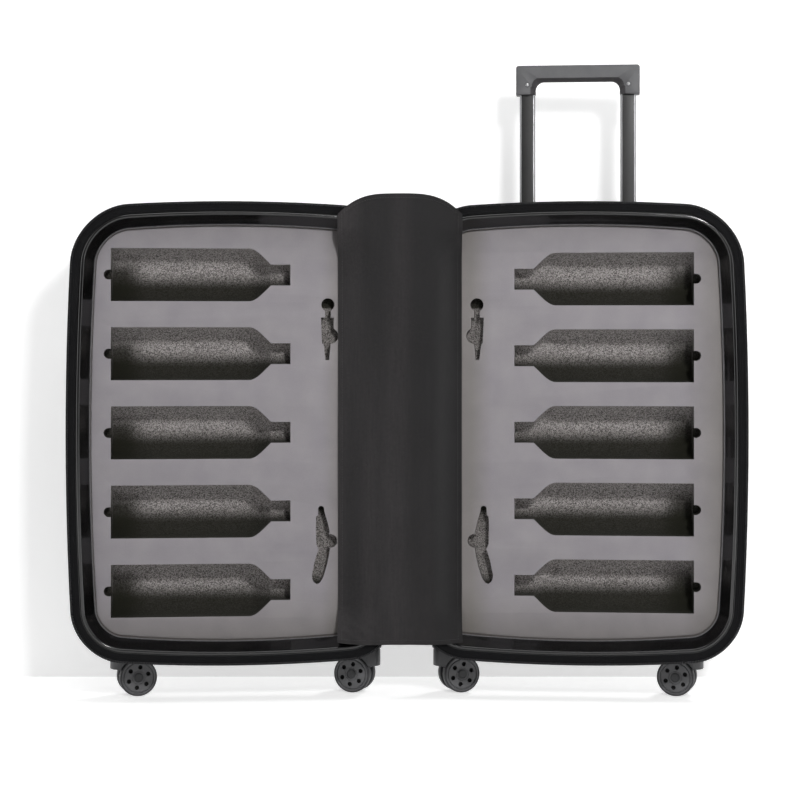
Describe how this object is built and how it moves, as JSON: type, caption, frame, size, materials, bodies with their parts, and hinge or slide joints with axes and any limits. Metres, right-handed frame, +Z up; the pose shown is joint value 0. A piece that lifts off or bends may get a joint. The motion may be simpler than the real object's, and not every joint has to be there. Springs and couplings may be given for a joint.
{
  "type": "wine suitcase",
  "caption": "Open hard-shell spinner suitcase with bottle-shaped cavities in foam, a fabric spine cover and a raised trolley handle.",
  "frame": {"origin": "on the floor, in the middle of the part's width and depth", "axes": "+X to the viewer's right along the open halves, +Y away from the viewer, to the backs of the shells, +Z up"},
  "size_m": [1.1174, 0.1981, 1.0483],
  "materials": {
    "shell": "gloss black",
    "rim": "gloss black",
    "zip_tape": "woven black tape",
    "zip_metal": "dark satin",
    "lining": "dark brown lining",
    "foam_core": "charcoal foam, grainy",
    "foam_face": "matt grey foam",
    "spine": "woven black polyester",
    "steel": "plain",
    "tube": "black anodised, satin",
    "grip": "matt grey",
    "handle": "soft matt black",
    "moulding": "satin dark grey",
    "wheel": "satin dark grey",
    "dial": "satin black"
  },
  "bodies": {
    "rear_half": {"rear_shell": "shell", "rear_rim_frame": "rim", "rear_zip_tape": "zip_tape", "rear_lining": "lining", "rear_foam_core": "foam_core", "rear_foam_face": "foam_face", "rear_bottom_grip": "moulding", "trolley_tray": "moulding", "trolley_outer_tube_left": "steel", "trolley_outer_tube_right": "steel", "trolley_foot": "moulding", "side_handle_cup": "moulding", "top_handle_cup": "moulding", "spine_cover": "spine", "hinge_tape": "spine", "zip_slider_1": "zip_metal", "zip_slider_2": "zip_metal", "caster_mount_rear_hinge": "moulding", "caster_mount_rear_outer": "moulding"},
    "front_half": {"front_shell": "shell", "front_rim_frame": "rim", "front_zip_tape": "zip_tape", "front_lining": "lining", "front_foam_core": "foam_core", "front_foam_face": "foam_face", "front_bottom_pad": "moulding", "lock_body": "moulding", "caster_mount_front_hinge": "moulding", "caster_mount_front_outer": "moulding"},
    "trolley": {"trolley_grip": "grip", "trolley_tube_left": "tube", "trolley_tube_right": "tube"},
    "grip_button": {"grip_button": "moulding"},
    "top_handle": {"top_handle": "handle"},
    "side_handle": {"side_handle": "handle"},
    "lock_dial_1": {"lock_dial_1": "dial"},
    "lock_dial_2": {"lock_dial_2": "dial"},
    "lock_dial_3": {"lock_dial_3": "dial"},
    "lock_button": {"lock_button": "moulding"},
    "zip_puller_1": {"zip_puller_1": "zip_metal"},
    "zip_puller_2": {"zip_puller_2": "zip_metal"},
    "fork_front_hinge": {"caster_fork_front_hinge": "moulding", "caster_axle_front_hinge": "moulding"},
    "wheel_a_front_hinge": {"caster_wheel_a_front_hinge": "wheel"},
    "wheel_b_front_hinge": {"caster_wheel_b_front_hinge": "wheel"},
    "fork_front_outer": {"caster_fork_front_outer": "moulding", "caster_axle_front_outer": "moulding"},
    "wheel_a_front_outer": {"caster_wheel_a_front_outer": "wheel"},
    "wheel_b_front_outer": {"caster_wheel_b_front_outer": "wheel"},
    "fork_rear_hinge": {"caster_fork_rear_hinge": "moulding", "caster_axle_rear_hinge": "moulding"},
    "wheel_a_rear_hinge": {"caster_wheel_a_rear_hinge": "wheel"},
    "wheel_b_rear_hinge": {"caster_wheel_b_rear_hinge": "wheel"},
    "fork_rear_outer": {"caster_fork_rear_outer": "moulding", "caster_axle_rear_outer": "moulding"},
    "wheel_a_rear_outer": {"caster_wheel_a_rear_outer": "wheel"},
    "wheel_b_rear_outer": {"caster_wheel_b_rear_outer": "wheel"}
  },
  "joints": [
    {"name": "lid_hinge", "type": "hinge", "parent": "rear_half", "child": "front_half", "pos_m": [0, -0.052, 0.437], "axis": [0, 0, 1], "range_deg": [-10, 170], "deforming": ["spine_cover", "hinge_tape"]},
    {"name": "trolley_slide", "type": "slide", "parent": "rear_half", "child": "trolley", "axis": [0, 0, 1], "range_m": [-0.198, 0]},
    {"name": "grip_button_press", "type": "slide", "parent": "trolley", "child": "grip_button", "axis": [0, 0, -1], "range_m": [0, 0.004], "stiffness_N_per_m": 400},
    {"name": "top_handle_pull", "type": "slide", "parent": "rear_half", "child": "top_handle", "axis": [0, 0, 1], "range_m": [0, 0.0105], "stiffness_N_per_m": 300},
    {"name": "side_handle_pull", "type": "slide", "parent": "rear_half", "child": "side_handle", "axis": [0.9962, -0.0872, 0], "range_m": [0, 0.0105], "stiffness_N_per_m": 300},
    {"name": "lock_dial_spin_1", "type": "hinge", "parent": "front_half", "child": "lock_dial_1", "pos_m": [-0.54667, -0.05214, 0.4385], "axis": [0, 0, 1], "continuous": true},
    {"name": "lock_dial_spin_2", "type": "hinge", "parent": "front_half", "child": "lock_dial_2", "pos_m": [-0.54667, -0.05214, 0.447], "axis": [0, 0, 1], "continuous": true},
    {"name": "lock_dial_spin_3", "type": "hinge", "parent": "front_half", "child": "lock_dial_3", "pos_m": [-0.54667, -0.05214, 0.4555], "axis": [0, 0, 1], "continuous": true},
    {"name": "lock_button_press", "type": "slide", "parent": "front_half", "child": "lock_button", "axis": [0.9962, 0.0872, 0], "range_m": [0, 0.0025], "stiffness_N_per_m": 400},
    {"name": "zip_puller_swing_1", "type": "hinge", "parent": "rear_half", "child": "zip_puller_1", "pos_m": [0.0646, -0.04761, 0.79523], "axis": [0.8651, -0.0757, 0.4958], "range_deg": [0, 100]},
    {"name": "zip_puller_swing_2", "type": "hinge", "parent": "rear_half", "child": "zip_puller_2", "pos_m": [0.04123, -0.04557, 0.7771], "axis": [0.6974, -0.061, 0.7141], "range_deg": [0, 100]},
    {"name": "swivel_front_hinge", "type": "hinge", "parent": "front_half", "child": "fork_front_hinge", "pos_m": [-0.06614, 0.03507, 0.08], "axis": [0, 0, 1], "continuous": true},
    {"name": "wheel_a_spin_front_hinge", "type": "hinge", "parent": "fork_front_hinge", "child": "wheel_a_front_hinge", "pos_m": [-0.08718, 0.0415, 0.031], "axis": [0.2924, 0.9563, 0], "continuous": true},
    {"name": "wheel_b_spin_front_hinge", "type": "hinge", "parent": "fork_front_hinge", "child": "wheel_b_front_hinge", "pos_m": [-0.08718, 0.0415, 0.031], "axis": [0.2924, 0.9563, 0], "continuous": true},
    {"name": "swivel_front_outer", "type": "hinge", "parent": "front_half", "child": "fork_front_outer", "pos_m": [-0.4693, -0.0002, 0.08], "axis": [0, 0, 1], "continuous": true},
    {"name": "wheel_a_spin_front_outer", "type": "hinge", "parent": "fork_front_outer", "child": "wheel_a_front_outer", "pos_m": [-0.44826, 0.00623, 0.031], "axis": [0.2924, -0.9563, 0], "continuous": true},
    {"name": "wheel_b_spin_front_outer", "type": "hinge", "parent": "fork_front_outer", "child": "wheel_b_front_outer", "pos_m": [-0.44826, 0.00623, 0.031], "axis": [0.2924, -0.9563, 0], "continuous": true},
    {"name": "swivel_rear_hinge", "type": "hinge", "parent": "rear_half", "child": "fork_rear_hinge", "pos_m": [0.06614, 0.03507, 0.08], "axis": [0, 0, 1], "continuous": true},
    {"name": "wheel_a_spin_rear_hinge", "type": "hinge", "parent": "fork_rear_hinge", "child": "wheel_a_rear_hinge", "pos_m": [0.08718, 0.0415, 0.031], "axis": [0.2924, -0.9563, 0], "continuous": true},
    {"name": "wheel_b_spin_rear_hinge", "type": "hinge", "parent": "fork_rear_hinge", "child": "wheel_b_rear_hinge", "pos_m": [0.08718, 0.0415, 0.031], "axis": [0.2924, -0.9563, 0], "continuous": true},
    {"name": "swivel_rear_outer", "type": "hinge", "parent": "rear_half", "child": "fork_rear_outer", "pos_m": [0.4693, -0.0002, 0.08], "axis": [0, 0, 1], "continuous": true},
    {"name": "wheel_a_spin_rear_outer", "type": "hinge", "parent": "fork_rear_outer", "child": "wheel_a_rear_outer", "pos_m": [0.44826, 0.00623, 0.031], "axis": [0.2924, 0.9563, 0], "continuous": true},
    {"name": "wheel_b_spin_rear_outer", "type": "hinge", "parent": "fork_rear_outer", "child": "wheel_b_rear_outer", "pos_m": [0.44826, 0.00623, 0.031], "axis": [0.2924, 0.9563, 0], "continuous": true}
  ]
}
